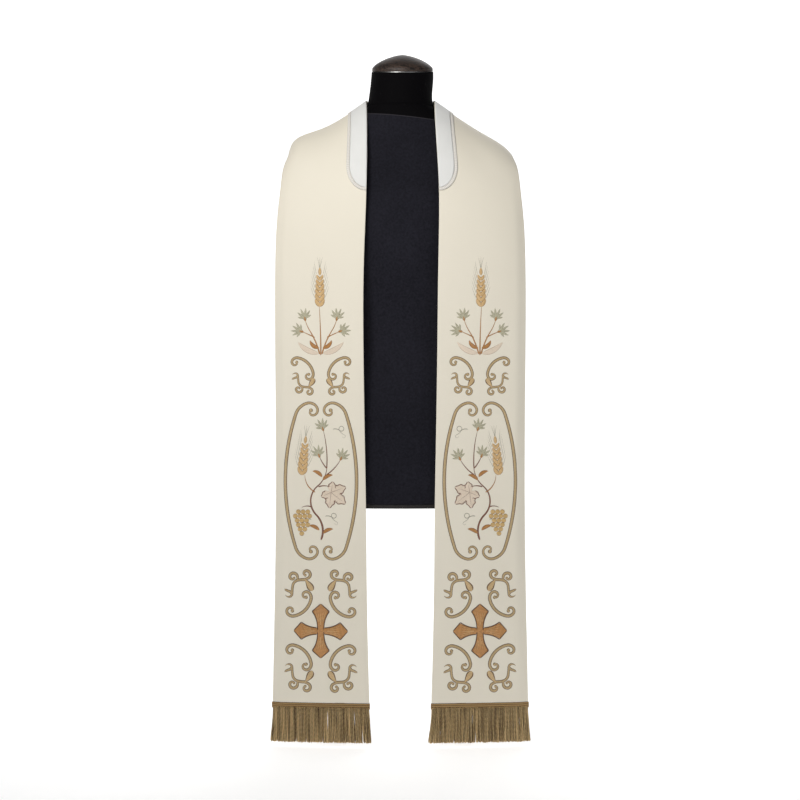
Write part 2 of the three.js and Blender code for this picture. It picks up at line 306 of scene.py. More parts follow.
def through(rows, run):
    """A smooth curve through the rows, from the first at run 0 to the last at run 1."""
    place = run * (len(rows) - 1)
    i = min(int(place), len(rows) - 2)
    here, there = rows[i], rows[i + 1]
    before = rows[i - 1] if i else 2 * here - there
    beyond = rows[i + 2] if i + 2 < len(rows) else 2 * there - here
    rise, fall, step = (there - before) / 2, (beyond - here) / 2, there - here
    f = place - i
    return here + rise * f + (3 * step - 2 * rise - fall) * f ** 2 + (rise + fall - 2 * step) * f ** 3


inner_rows = [Vector(row.inner) * MM for row in SECTIONS]
outer_rows = [Vector(row.outer) * MM for row in SECTIONS]
fullness_rows = {
    side: [Vector((row.crown, getattr(row, side), row.turn)) * MM for row in SECTIONS] for side in SIDES
}
shoulder_scale = (1 + 1 / SHOULDER_POWER) ** SHOULDER_POWER * (SHOULDER_POWER + 1)

LENGTH_STEPS = 1600
SHORT_RUN = 1e-4
neck_edge = [through(inner_rows, step / LENGTH_STEPS) for step in range(LENGTH_STEPS + 1)]
edge_lengths = [0.0]
for first, second in zip(neck_edge, neck_edge[1:]):
    edge_lengths.append(edge_lengths[-1] + (second - first).length)
neck_edge_length = edge_lengths[-1]


def run_at(distance):
    """How far along the table a distance up the neck edge is, from 0 to 1."""
    low = min(max(bisect_right(edge_lengths, distance) - 1, 0), LENGTH_STEPS - 1)
    share = (distance - edge_lengths[low]) / (edge_lengths[low + 1] - edge_lengths[low])
    return (low + share) / LENGTH_STEPS


def distance_at(run):
    place = min(max(run, 0), 1) * LENGTH_STEPS
    low = min(int(place), LENGTH_STEPS - 1)
    return edge_lengths[low] + (place - low) * (edge_lengths[low + 1] - edge_lengths[low])


@cache
def section_at(side, run):
    """The neck edge, the line to the outer edge, the way the face looks and its fullness."""
    low, high = max(run - SHORT_RUN, 0), min(run + SHORT_RUN, 1)
    inner = through(inner_rows, run)
    chord = through(outer_rows, run) - inner
    climb = sum(((through(rows, high) - through(rows, low)).normalized()
                 for rows in (inner_rows, outer_rows)), Vector())
    return inner, chord, chord.cross(climb).normalized(), through(fullness_rows[side], run)


def crease_depth(side, run, share, width):
    """How far the creases lift or sink the face there, in metres."""
    up = distance_at(run) / MM
    across = share * width / MM
    depth = 0.0
    for crease in CREASES[side]:
        slant = math.radians(crease.slant)
        right, rise = across - crease.across, up - crease.up
        lengthways = (right * math.cos(slant) + rise * math.sin(slant)) / (crease.length / 2)
        sideways = (rise * math.cos(slant) - right * math.sin(slant)) / crease.width
        depth += crease.depth * math.exp(-lengthways ** 2 * 2 - sideways ** 2)
    return depth * MM


# The neck edge lies a little to the right on both halves, most at the chest: how far, in metres,
# and where up the edge and over what length.
DRIFT = {"left": -3.5 * MM, "right": 5 * MM}
DRIFT_MIDDLE = 950 * MM
DRIFT_LENGTH = 130 * MM


def face_point(side, run, share):
    """A point on the face, at a share of the width out from the neck edge."""
    inner, chord, proud, fullness = section_at(side, run)
    crown = fullness.x * 4 * share * (1 - share)
    shoulder = fullness.y * shoulder_scale * share ** SHOULDER_POWER * (1 - share)
    over = min(max((share - TURN_FROM) / (1 - TURN_FROM), 0), 1)
    turn = fullness.z * over ** 2 * (3 - 2 * over)
    crease = crease_depth(side, run, share, chord.length)
    drift = DRIFT[side] * math.exp(-((distance_at(run) - DRIFT_MIDDLE) / DRIFT_LENGTH) ** 2)
    sideways = Vector((drift * (1 - share), 0, 0))
    return inner + sideways + chord * share + proud * (crown + shoulder - turn + crease)


def cloth_point(side, run, share, out=0.0):
    """The same point `out` from the face, on the half that is asked for."""
    step = 0.004
    point = face_point(side, run, share)
    if out:
        along = face_point(side, min(run + step, 1), share) - face_point(side, max(run - step, 0), share)
        sideways = face_point(side, run, share + step) - face_point(side, run, share - step)
        point = point + sideways.cross(along).normalized() * out
    return Vector((SIDES[side] * point.x, point.y, point.z))


def laid_grid(bm, columns, rows, place):
    """A grid bent to a surface. place(across, along) gives a point and its UV, from 0 to 1 each."""
    uv = bm.loops.layers.uv.get("cloth") or bm.loops.layers.uv.new("cloth")
    made = bmesh.ops.create_grid(bm, x_segments=columns, y_segments=rows, size=0.5)["verts"]
    spots = {}
    for vert in made:
        across = round((vert.co.x + 0.5) * columns) / columns
        along = round((vert.co.y + 0.5) * rows) / rows
        vert.co, spots[vert] = place(across, along)
    faces = {face for vert in made for face in vert.link_faces}
    for face in faces:
        for loop in face.loops:
            loop[uv].uv = spots[loop.vert]
    return made, faces


BAND_COLUMNS = 30
BAND_ROWS = 230


def band_mesh(side):
    """The face of one band, its columns running from -X to +X so that it looks outwards."""
    def place(across, along):
        share = across if side == "right" else 1 - across
        run = run_at(along * neck_edge_length)
        point = cloth_point(side, run, share)
        point.x = SIDES[side] * max(abs(point.x), SEAM_GAP / 2)
        width = section_at(side, run)[1].length
        return point, (share * width, along * neck_edge_length)

    bm = bmesh.new()
    laid_grid(bm, BAND_COLUMNS, BAND_ROWS, place)
    bm.normal_update()
    return bm


def weave(shader, pitch_mm):
    """A plain weave's height from 0 to 1, from the piece's own UV in metres."""
    uv = cloth_uv(shader)
    turn = 2 * math.pi / (pitch_mm * MM)
    warp = (uv.part(0) * turn).sine()
    weft = (uv.part(1) * turn).sine()
    return uv, (warp * weft + 1) * 0.5


ivory_cloth, shader = new_finish("ivory_cloth", {
    "Specular IOR Level": 0.38, "Sheen Weight": 0.22, "Sheen Roughness": 0.45,
    "Sheen Tint": (1.0, 0.97, 0.9, 1.0),
})
uv, threads = weave(shader, 0.7)
cloud = object_place(shader).noise(9.0, 3.0)
slub = uv.stretched((60.0, 1400.0, 1.0)).noise()
tone = cloud * 0.5 + slub * 0.35 + threads * 0.15
feed(shader, {
    "Base Color": tone.tint((0.80, 0.745, 0.625), (0.865, 0.815, 0.70)),
    "Roughness": threads * 0.12 + 0.52,
    "Normal": (threads * 0.6 + slub * 0.4).bump(0.00022, 0.6),
})

PRESSED_EDGE = 0.7 * MM


def round_edges(piece, name, width, angle):
    """A live bevel on each edge that turns by more than this many degrees."""
    edge = piece.modifiers.new(name, "BEVEL")
    edge.width = width
    edge.segments = 3
    edge.limit_method = "ANGLE"
    edge.angle_limit = math.radians(angle)


band_touch = {}
for side in SIDES:
    bm = band_mesh(side)
    band_touch[side] = BVHTree.FromBMesh(bm)
    band = put_in_scene(f"band_{side}", bm, ivory_cloth)
    wall = band.modifiers.new("canvas_and_lining", "SOLIDIFY")
    wall.thickness = CLOTH_THICK
    wall.offset = -1
    wall.use_even_offset = True
    round_edges(band, "pressed_edge", PRESSED_EDGE, 60)
    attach(band, "root")
    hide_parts(f"stole_band_{side}")

# --------------------
# The neck guard and its edging. A washable strip of white cotton is tacked along the neck edge
# from one chest to the other, round at the feet, with a narrow cotton lace round its outside.
GUARD_FOOT = 951 * MM
GUARD_CORNER = 50 * MM
GUARD_SHARE = 0.195
GUARD_THICK = 0.9 * MM
LAID_GAP = 0.6 * MM
EDGING_WIDTH = 6 * MM
EDGING_THICK = 1.0 * MM
LACE_PITCH = 3.4 * MM
LACE_DIP = 1.1 * MM
GUARD_EDGE = 0.6
GUARD_PAD = 0.5
GUARD_GRID = (10, 240)
EDGING_GRID = (3, 1200)
guard_width = GUARD_SHARE * section_at("right", run_at(GUARD_FOOT + GUARD_CORNER))[1].length
corner_length = math.pi / 2 * math.hypot(GUARD_CORNER, guard_width) / math.sqrt(2)
outline_length = corner_length + neck_edge_length - GUARD_FOOT - GUARD_CORNER


def outline_at(distance):
    """The guard's outline: its height up the neck edge, its share of the band's width, and the
    way that it faces, as an angle from straight down."""
    turn = min(distance / corner_length, 1) * math.pi / 2
    height = GUARD_FOOT + GUARD_CORNER * (1 - math.cos(turn)) + max(distance - corner_length, 0)
    lean = math.atan2(GUARD_CORNER * math.sin(turn), guard_width * math.cos(turn))
    return height, GUARD_SHARE * math.sin(turn), lean


def neck_strip(bm, grid, across_at):
    """A strip round the neck from the left foot to the right. across_at gives, for a place from
    the outside in and a distance, a share of the guard's width, the way beyond it, and the way
    out from the band."""
    def place(across, along):
        side = "left" if along < 0.5 else "right"
        distance = (1 - abs(2 * along - 1)) * outline_length
        height, outline, lean = outline_at(distance)
        share, beyond, out = across_at(across, distance)
        run = run_at(min(max(height - beyond * math.cos(lean), 0), neck_edge_length))
        width = section_at(side, run)[1].length
        reach = outline * share + beyond * math.sin(lean) / width
        point = cloth_point(side, run, reach, out)
        if along == 0.5:
            point.x = 0
        return point, (reach * width, distance if side == "left" else 2 * outline_length - distance)

    return laid_grid(bm, *grid, place)


white_cotton, shader = new_finish("white_cotton", {
    "Specular IOR Level": 0.25, "Sheen Weight": 0.25, "Sheen Roughness": 0.6,
})
uv, threads = weave(shader, 0.9)
cloud = object_place(shader).noise(40.0, 3.0)
feed(shader, {
    "Base Color": (cloud * 0.7 + threads * 0.3).tint((0.78, 0.785, 0.77), (0.86, 0.86, 0.845)),
    "Roughness": cloud * 0.1 + 0.75,
    "Normal": (threads * 0.5 + cloud * 0.5).bump(0.0004, 0.7),
})

cotton_lace, shader = new_finish("cotton_lace", {
    "Roughness": 0.85, "Specular IOR Level": 0.2, "Sheen Weight": 0.2, "Sheen Roughness": 0.6,
})
uv = cloth_uv(shader)
# The lace's pattern repeats with each scallop and is darkest where two scallops meet: partly the lace's
# holes, partly painted shade in them.
loops = abs((uv.part(1) * (math.pi / LACE_PITCH)).sine())
lace = loops * 0.6 + uv.noise(1500.0) * 0.4
feed(shader, {
    "Base Color": lace.tint((0.62, 0.58, 0.52), (0.90, 0.875, 0.83)),
    "Normal": lace.bump(0.0008, 0.9),
})


def guard_across(across, distance):
    pad = math.sin(math.pi * min(max(across, 0.02), 0.98)) ** 0.5
    return 1 - across, 0.0, LAID_GAP + GUARD_THICK * (GUARD_EDGE + GUARD_PAD * pad)


def edging_across(across, distance):
    scallop = LACE_DIP * abs(math.sin(math.pi * distance / LACE_PITCH))
    return 1.0, SEAM_GAP + (1 - across) * (EDGING_WIDTH - LACE_DIP + scallop), LAID_GAP + EDGING_THICK


neck_guard = bmesh.new()
neck_strip(neck_guard, GUARD_GRID, guard_across)
neck_guard = put_in_scene("cotton_neck_guard", neck_guard, white_cotton)
edging = bmesh.new()
neck_strip(edging, EDGING_GRID, edging_across)
edging = put_in_scene("guard_lace_edging", edging, cotton_lace)
for piece, node, slot, thick in (
    (neck_guard, "neck_guard", "guard_cotton", GUARD_THICK),
    (edging, "neck_guard_edging", "edging_lace", EDGING_THICK),
):
    wall = piece.modifiers.new("cloth_thickness", "SOLIDIFY")
    wall.thickness = thick
    wall.offset = -1
    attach(piece, "root")
    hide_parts(node)

# --------------------
# The embroidery. Worked by machine on each band in rayon and metal thread: padded satin stitch
# over the cloth, drawn here as runs of stitching on a flat pattern and then laid on the band.
PATTERN_MIDDLE = 146.5
STITCH_STEP = 1.7
STITCH_DOME = (0.0, 0.78, 1.0, 0.78, 0.0)
STITCH_SINK = 0.12
PLY_SLANT = 2.2

# One run of stitching in millimetres: the thread, the middle line's points, the width and
# height, and a function that gives the share of the width at each share of the length.
Run = namedtuple("Run", "thread points wide high shape")


def thread_finish(name, edge, core, ply_mm, edge_from=0.25, edge_to=0.38, dim=0.5):
    """Thread that lies across the run in fine plies, darker along the run's two edges. The plies are
    darker in the grooves between them, which is painted shade.
    """
    material, shader = new_finish(name, {
        "Roughness": 0.42, "Specular IOR Level": 0.5, "Sheen Weight": 0.15,
    })
    uv = cloth_uv(shader)
    ply = ((uv.part(1) + uv.part(0) * PLY_SLANT) * (2 * math.pi / ply_mm)).sine() * 0.5 + 0.5
    worn = object_place(shader).noise(420.0)
    outline = abs(uv.part(0) - 0.5).ramp(edge_from, edge_to)
    ply_groove_shade = tuple(value * dim for value in core)
    # Painted shade: each ply darkens to dim times the core colour in the groove beside it, mixed with a
    # random tone.
    thread = (ply * 0.5 + worn * 0.5).ramp(0.3, 0.66).tint(ply_groove_shade, core)
    feed(shader, {
        "Base Color": outline.tint(thread, edge),
        "Normal": (ply * 0.7 + worn * 0.3).bump(0.0005, 0.8),
    })
    return material


threads = {name: thread_finish(*facts) for name, facts in {
    "scrollwork": ("bronze_scroll_thread", (0.115, 0.066, 0.026), (0.66, 0.48, 0.25), 1.5, 0.25, 0.34),
    "bulbs": ("amber_bulb_thread", (0.15, 0.078, 0.028), (0.80, 0.56, 0.28), 1.5, 0.27, 0.34),
    "wheat": ("gold_wheat_thread", (0.30, 0.15, 0.045), (0.90, 0.60, 0.28), 1.3, 0.30, 0.42),
    "flowers": ("sage_flower_thread", (0.25, 0.235, 0.14), (0.66, 0.62, 0.44), 1.2, 0.30, 0.42),
    "stems": ("rust_stem_thread", (0.20, 0.075, 0.024), (0.62, 0.29, 0.085), 1.2, 0.30, 0.42),
    "vine": ("plum_vine_thread", (0.12, 0.04, 0.025), (0.30, 0.115, 0.06), 1.1),
    "grapes": ("honey_grape_thread", (0.30, 0.165, 0.05), (0.86, 0.58, 0.24), 1.3, 0.33, 0.42),
    "pale_leaves": ("pale_leaf_thread", (0.33, 0.17, 0.08), (0.90, 0.76, 0.61), 1.3, 0.36, 0.46, 0.8),
    "cross": ("amber_cross_thread", (0.22, 0.085, 0.02), (0.66, 0.32, 0.105), 2.4, 0.40, 0.5),
    "outlines": ("dark_outline_thread", (0.075, 0.03, 0.014), (0.14, 0.06, 0.025), 1.1),
    "tendrils": ("grey_tendril_thread", (0.30, 0.27, 0.20), (0.40, 0.36, 0.27), 1.1),
}.items()}
patterns = {name: bmesh.new() for name in threads}


def stitch(run):
    """Adds a domed run to its flat pattern. Its UV is its share across, and its length in mm."""
    points = run.points
    lengths = [0.0]
    for first, second in zip(points, points[1:]):
        lengths.append(lengths[-1] + (second - first).length)
    last = len(points) - 1

    def place(along, across):
        i = round(along * last)
        way = (points[min(i + 1, last)] - points[max(i - 1, 0)]).normalized()
        fit = run.shape(lengths[i] / lengths[-1])
        spot = points[i] + Vector((-way.y, way.x)) * (across - 0.5) * run.wide * fit
        dome = STITCH_DOME[round(across * (len(STITCH_DOME) - 1))] * run.high * min(1, 0.35 + fit)
        return Vector((spot.x, spot.y, dome - STITCH_SINK)), (across, lengths[i])

    laid_grid(patterns[run.thread], last, len(STITCH_DOME) - 1, place)


def backwards(shape):
    return lambda share: shape(1 - share)


def set_down(runs, at, turn=0, across=1, up=1, size=1.0):
    """Stitches a motif at a place. Across and up are -1 where it is turned over that way."""
    angle = math.radians(turn)
    for run in runs:
        points = []
        for x, y in run.points:
            x, y = (x * math.cos(angle) - y * math.sin(angle), x * math.sin(angle) + y * math.cos(angle))
            points.append(Vector((at[0] + across * size * x, at[1] + up * size * y)))
        shape = run.shape
        if across * up < 0:
            points.reverse()
            shape = backwards(shape)
        stitch(run._replace(points=points, wide=run.wide * size, shape=shape))


def walk(start, heading, legs, step=STITCH_STEP):
    """Points along arcs from a start. Each leg is a length and a turn to the left in degrees."""
    points = [Vector(start)]
    angle = math.radians(heading)
    for length, turn in legs:
        pieces = max(2, math.ceil(length / step))
        bend = math.radians(turn) / pieces
        for _ in range(pieces):
            angle += bend / 2
            points.append(points[-1] + Vector((math.cos(angle), math.sin(angle))) * (length / pieces))
            angle += bend / 2
    return points


def both_ways(middle, heading, legs):
    """A line that runs from its middle by the same legs forwards and backwards."""
    forwards = walk(middle, heading, legs)
    backwards = walk(middle, heading + 180, [(length, -turn) for length, turn in legs])
    return backwards[:0:-1] + forwards


def round_ends(share, blunt=0.05):
    near = min(share, 1 - share) / blunt
    return math.sqrt(max(1 - (1 - min(near, 1)) ** 2, 0.0))


def drawn_out(share):
    """Full at the start and drawn out to a fine end."""
    return round_ends(share, 0.04) * (1 - 0.75 * share ** 1.5)


def volute(share):
    """Full along the middle and finer in the curled ends."""
    return round_ends(share, 0.03) * (1 - 0.46 * abs(2 * share - 1) ** 3)


def hooked(share):
    """Full from the start on, and pointed in the last part."""
    return round_ends(share, 0.03) * (1 - 0.3 * share) * min(1, (1 - share) / 0.22 + 0.15)


def almond(share):
    return max(math.sin(math.pi * share ** 0.85), 0.0) ** 0.75


def teardrop(share):
    return max(math.sin(math.pi * share ** 1.9), 0.0) ** 0.6 * 0.9 + 0.1 * round_ends(share)


def disc(thread, middle, across, high=1.0):
    """A round spot, such as the eye of a scroll or a grape."""
    line = [Vector((middle[0] + across * (step / 8 - 0.5), middle[1])) for step in range(9)]
    return Run(thread, line, across, high, lambda share: round_ends(share, 0.5))


# Scrolls: a C with an eye in each curled end, bulging to its right, in a small and a large size.
# Each has the legs of half its line, its width and how wide the eyes are.
SMALL_SCROLL = (((24, 34), (12, 56), (11, 86), (9, 92), (5, 80)), 6.8, 6.6)
LARGE_SCROLL = (((125, 18), (30, 56), (22, 78), (16, 92), (11, 96), (6, 90)), 7.2, 7.4)


def c_scroll(legs, wide, eye):
    line = both_ways((0, 0), 0, legs)
    return [
        Run("scrollwork", line, wide, 1.0, volute),
        disc("scrollwork", line[0], eye, 1.15), disc("scrollwork", line[-1], eye, 1.15),
    ]


def leafy_curl():
    """A stem with a bulb at one end, a split hook at the other, and two volutes on its back."""
    curl = ((7, -12), (11, -80), (10, -85), (8, -88), (4.5, -80))
    runs = [Run("bulbs", walk((30, 96), -130, [(12, 6), (15, 10)]), 14, 1.1, teardrop)]
    for start, heading, legs in (
        ((28, 94), 4, ((14, -16), (16, -70), (14, -8), (9, 84), (9, 66))),
        ((53, 66), 78, ((9, -62), (10, 20))),
        ((32, 95), 176, curl),
        ((43, 92), 96, curl),
    ):
        line = walk(start, heading, legs)
        runs.append(Run("scrollwork", line, 6.3, 0.9, volute if legs is curl else hooked))
        if legs is curl:
            runs.append(disc("scrollwork", line[-1], 5.4, 1.05))
    return runs


# The cross: four arms that flare to a point, the upright lying over the crosspiece.
ARM_LENGTH = 50
ARM_WAIST = 11.5
ARM_BROAD = 32
ARM_BARB = 36
ARM_STEPS = 30


def arm_width(distance):
    if distance > ARM_BARB:
        return ARM_BROAD * (ARM_LENGTH - distance) / (ARM_LENGTH - ARM_BARB) + 0.01
    return ARM_WAIST + (ARM_BROAD - ARM_WAIST) * (distance / ARM_BARB) ** 2.6


def cross_arm(high):
    """One arm from the middle out, with a dark cord along each of its edges."""
    line = walk((0, 0), 0, [(ARM_LENGTH, 0)], ARM_LENGTH / ARM_STEPS)
    runs = [Run("cross", line, 1.0, high, lambda share: arm_width(share * ARM_LENGTH))]
    runs.append(Run("wheat", line[6:-5], 2.4, high + 0.25, drawn_out))
    for hand in (-1, 1):
        for spread in (0.17, 0.32):
            vein = [point + Vector((0, hand * arm_width(point.x) * spread)) for point in line[10:-7]]
            runs.append(Run("wheat", vein, 1.5, high + 0.2, drawn_out))
        border = [point + Vector((0, hand * arm_width(point.x) / 2))
                  for point in line[0 if high > 1 else 4:]]
        runs.append(Run("outlines", border, 1.9, high * 0.6 + 0.4, round_ends))
    return runs


# Plants: an ear of wheat, a star flower, a leaf, a stem, a vine leaf and a bunch of grapes.
KERNEL_PITCH = 9.6


def awn(start, heading, length, bend):
    return Run("tendrils", walk(start, heading, [(length, bend)], 3), 0.9, 0.3, drawn_out)


def wheat_ear(pairs):
    """Kernels in pairs up a short stem, each with a fine awn, and one kernel at the tip."""
    runs = []
    for pair in range(pairs):
        foot = pair * KERNEL_PITCH
        fat = 1 - 0.35 * (pair / pairs) ** 2
        for hand in (-1, 1):
            line = walk((-hand * 1.6, foot - 2), 90 - hand * 47, [(18 * fat, hand * 24)], 1.2)
            runs.append(Run("wheat", line, 8.4 * fat, 1.0, almond))
            runs.append(awn(line[-1], 90 - hand * (24 - 2 * pair), 26, hand * 8))
    tip = pairs * KERNEL_PITCH
    runs.append(Run("wheat", walk((0, tip - 2), 90, [(15, 0)], 1.2), 6.4, 1.0, almond))
    return runs + [awn((0, tip + 10), 90 + lean, 24, lean) for lean in (-9, 0, 9)]


def star_flower():
    """Narrow petals that open upwards round a full middle, with one sepal at their foot."""
    runs = [
        Run("flowers", walk((0, -5), 90, [(14, 0)], 1), 10.5, 0.8, almond),
        Run("stems", walk((0, -7), 90, [(10, 0)], 1), 5, 1.0, almond),
    ]
    for lean, length in ((-88, 13), (-52, 17), (-18, 18), (18, 18), (52, 17), (88, 13)):
        line = walk((0, 0), 90 - lean, [(length, lean * 0.25)], 1.4)
        runs.append(Run("flowers", line, 4.4, 0.8, almond))
    return runs


def leaf(thread, length, wide, bend):
    return [Run(thread, walk((0, 0), 90 + bend / 2, [(length, -bend)]), wide, 0.9, almond)]


def grow(thread, start, lean, legs, wide, hand=1):
    """Stitches a stem whose lean from upright is outwards on this hand. Returns its tip."""
    line = walk(start, 90 - hand * lean, [(length, -hand * turn) for length, turn in legs])
    stitch(Run(thread, line, wide, 0.7, drawn_out))
    return line[-1]


def vine_leaf():
    """Five toothed lobes filled in a pale thread, with dark edges and a vein up each."""
    runs = []
    for lean, length, wide in ((118, 20, 15), (-118, 20, 15), (58, 29, 19), (-58, 29, 19), (0, 34, 20)):
        def lobe(share, wide=wide):
            teeth = 1 + 0.13 * math.sin(6.5 * math.pi * share)
            return (wide * (math.sin(math.pi * share ** 0.8) ** 0.8) * teeth if share < 1 else 0) + 0.2

        line = walk((0, 0), 90 + lean, [(length, 0)], 1.1)
        runs.append(Run("pale_leaves", line, 1.0, 0.55, lobe))
        lengths = [(point - line[0]).length / length for point in line]
        way = (line[-1] - line[0]).normalized()
        beside = Vector((-way.y, way.x))
        for hand in (-1, 1):
            border = [point + beside * hand * lobe(min(share, 1)) / 2
                      for point, share in zip(line, lengths) if share > 0.42]
            runs.append(Run("vine", border, 1.5, 0.8, lambda share: round_ends(share, 0.1)))
        runs.append(Run("vine", line[:-4], 0.9, 0.9, drawn_out))
    return runs


def grapes():
    """Round grapes in rows of up to four, down to one at the foot."""
    runs = []
    for row, count in enumerate((3, 4, 3, 3, 2, 1)):
        for berry in range(count):
            middle = ((berry - (count - 1) / 2) * 8.8 + (row % 3 - 1) * 1.2, -8 - row * 8.0)
            runs.append(disc("grapes", middle, 9.2, 1.3))
    return runs


CROSS_HEIGHT = 213
FRAME_HEIGHT = 489

# The cross group: the cross, four scrolls with their backs to it, and a leafy curl a corner.
for turn in (0, 180, 90, 270):
    set_down(cross_arm(1.3 if turn % 180 else 0.9), (0, CROSS_HEIGHT), turn)
for across in (-1, 1):
    for up in (-1, 1):
        middle = (across * 29, CROSS_HEIGHT + up * 38)
        set_down(c_scroll(*SMALL_SCROLL), middle, 315, across, up)
        set_down(leafy_curl(), (0, CROSS_HEIGHT), 0, across, up)

# The vine, in a frame of two large scrolls, with a leaf, grapes, flowers and an ear of wheat.
for across in (-1, 1):
    set_down(c_scroll(*LARGE_SCROLL), (across * 66, FRAME_HEIGHT), 90, across)
grow("vine", (0, 380), -25, ((50, 70), (60, -95), (50, 60)), 4.2)
grow("vine", (15, 440), 60, ((22, 62),), 2.6)
set_down(grapes(), (34, 440))
grow("vine", (5, 478), -70, ((24, -40),), 2.6)
set_down(vine_leaf(), (-19, 468), 128)
grow("stems", (10, 468), 64, ((40, -66),), 2.6)
set_down(wheat_ear(6), (35, 502), 6)
for start, lean, bend, length in (
    ((-11, 512), -4, 20, 76), ((-10, 500), -58, 34, 44), ((-11, 512), 42, -24, 30),
):
    tip = grow("vine", start, lean, ((length, bend),), 2.4)
    set_down(star_flower(), tip, -lean - bend)
for at, lean, bend in (
    ((-2, 496), 58, 70), ((-4, 490), -62, -70), ((3, 398), 66, 60), ((-4, 392), -66, -60),
):
    set_down(leaf("stems", 22, 7.5, bend), at, -lean)
for across, at in ((1, (17, 418)), (-1, (-8, 424)), (-1, (-22, 584))):
    line = walk((0, 0), 20, ((14, -60), (26, 330), (14, 50), (13, -260)))
    set_down([Run("tendrils", line, 1.5, 0.5, drawn_out)], at, 0, across)

# The spray at the top: an ear of wheat between two stems of flowers, over scrolls and curls.
grow("stems", (0, 720), 0, ((94, 4),), 2.8)
set_down(wheat_ear(6), (2, 812))
for hand in (-1, 1):
    tip = grow("stems", (hand * 2, 722), 14, ((48, 18), (26, -22)), 3.0, hand)
    set_down(star_flower(), tip, -10, hand)
    tip = grow("stems", (hand * 11, 753), 62, ((30, 8),), 2.4, hand)
    set_down(star_flower(), tip, -72, hand)
    set_down(leaf("stems", 24, 8.0, -80), (hand * 3, 734), -50, hand)
    set_down(leaf("pale_leaves", 46, 11, -50), (hand * 3, 724), -62, hand)
    set_down(c_scroll(*SMALL_SCROLL), (hand * 24, 706), 225, hand, size=0.88)
    set_down(leafy_curl(), (0, 737), 0, hand, -1, 0.80)


def lay_on_band(name, side):
    """A copy of a flat pattern, set out from the pattern's middle line and laid on a band."""
    bm = patterns[name].copy()
    for vert in bm.verts:
        across = (PATTERN_MIDDLE + vert.co.x) * SIDES[side] * MM
        spot, normal, _, _ = band_touch[side].ray_cast(
            Vector((across, -1.0, vert.co.y * MM)), Vector((0, 1, 0)))
        vert.co = spot + normal * (vert.co.z * MM)
    if side == "left":
        bmesh.ops.reverse_faces(bm, faces=bm.faces[:])
    piece = put_in_scene(f"stitched_{name}_{side}", bm, threads[name])
    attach(piece, "root")
    return piece


stitching = {side: [lay_on_band(name, side) for name in threads] for side in SIDES}

# --------------------
# The braid heading and the bullion fringe. A flat gold braid is stitched over the hem, and from
# it hang three rows of twisted bullion cords, which flare out a little towards their feet.
HEADING_TOP = 80.7 * MM
HEADING_FOOT = 69.7 * MM
HEADING_THICK = 4.0 * MM
HEADING_RIDGES = 3
FRINGE_FOOT = 6.0 * MM
FRINGE_FLARE = 5.0 * MM
CORD_PITCH = 3.2 * MM
CORD_RADIUS = 1.3 * MM
CORD_ROWS = (-1.5 * MM, 0.0, 1.5 * MM)
CORD_SIDES = 6
HEADING_GRID = (90, 56)
HEADING_SQUARE = 0.35
HEADING_OVERHANG = 1.0 * MM
HEADING_SPAN = 0.175
BRAID_PITCH = 1.6 * MM
CORD_TUCK = 3 * MM
CORD_TWIST = 2.3 * MM
HEM_STEP = 0.02
FRINGE_SEED = 11

# The places down a cord that its rings stand at, and how full each one is.
CORD_RINGS = ((0, 0), (0, 1), (0.15, 1), (0.3, 1), (0.45, 1), (0.6, 1), (0.75, 1.04),
              (0.88, 1.08), (0.97, 0.95), (1, 0))


def hem_at(side, share):
    """The middle of the wall at the hem, its way across and the way its face looks."""
    point, near, far = (cloth_point(side, 0, at, -CLOTH_THICK / 2)
                        for at in (share, min(share + HEM_STEP, 1), max(share - HEM_STEP, 0)))
    way = (near - far).normalized()
    facing = Vector((way.y, -way.x, 0)).normalized()
    return point, way, facing if facing.y < 0 else -facing


gold_braid, shader = new_finish("gold_braid", {
    "Roughness": 0.45, "Metallic": 0.35, "Specular IOR Level": 0.5,
})
uv = cloth_uv(shader)
across = uv.part(0) * (math.pi / BRAID_PITCH)
ridge = abs((uv.part(1) * (math.pi * HEADING_RIDGES)).sine())
ply = abs((across + ridge * 3.0).sine())
worn = object_place(shader).noise(700.0, 3.0)
# Painted shade: the braid's colour falls to near black in the grooves between its ridges and between its
# plies, mixed with a random tone.
feed(shader, {
    "Base Color": (ply * 0.35 + ridge * 0.45 + worn * 0.2).ramp(0.2, 0.85).tint(
        (0.05, 0.025, 0.008), (0.48, 0.30, 0.12)),
    "Normal": (ply * 0.6 + ridge * 0.4).bump(0.0009, 0.9),
})

bullion_cord, shader = new_finish("bullion_cord", {"Metallic": 0.45, "Specular IOR Level": 0.5})
uv = cloth_uv(shader)
twist = ((uv.part(0) + uv.part(1) * (1 / CORD_TWIST)) * (2 * math.pi)).sine() * 0.5 + 0.5
place = object_place(shader)
strand = place.stretched((330.0, 330.0, 9.0)).noise()
glint = place.noise(900.0, 1.0)
# Painted highlights and shade: the cords run from near black to bright gold by their twist, by streaks
# down each strand and by glints. These stand in for the highlights on the cords and the shade between
# them. The glints also vary the roughness.
tone = twist * 0.25 + strand * 0.6 + glint * 0.15
feed(shader, {
    "Base Color": tone.ramp(0.41, 0.59).tint((0.05, 0.024, 0.007), (0.90, 0.66, 0.34)),
    "Roughness": glint * 0.25 + 0.28,
    "Normal": twist.bump(0.0009, 1.0),
})


def closed_tube(columns, rows, place, soft_end=None, rim=2.5 * MM):
    """A tube from a grid, joined round its back and closed with a face at each end. The rim of
    the soft end is rounded, which is -1 for the top and 0 for the foot."""
    bm = bmesh.new()
    laid_grid(bm, columns, rows, place)
    bmesh.ops.remove_doubles(bm, verts=bm.verts[:], dist=1e-6)
    bmesh.ops.holes_fill(bm, edges=[edge for edge in bm.edges if edge.is_boundary], sides=0)
    bmesh.ops.recalc_face_normals(bm, faces=bm.faces[:])
    if soft_end is not None:
        ends = sorted((face for face in bm.faces if len(face.verts) > 4),
                      key=lambda face: face.calc_center_median().z)
        bmesh.ops.bevel(bm, geom=ends[soft_end].edges[:], offset=rim, segments=4,
                        affect="EDGES", profile=0.5, material=-1)
    return bm


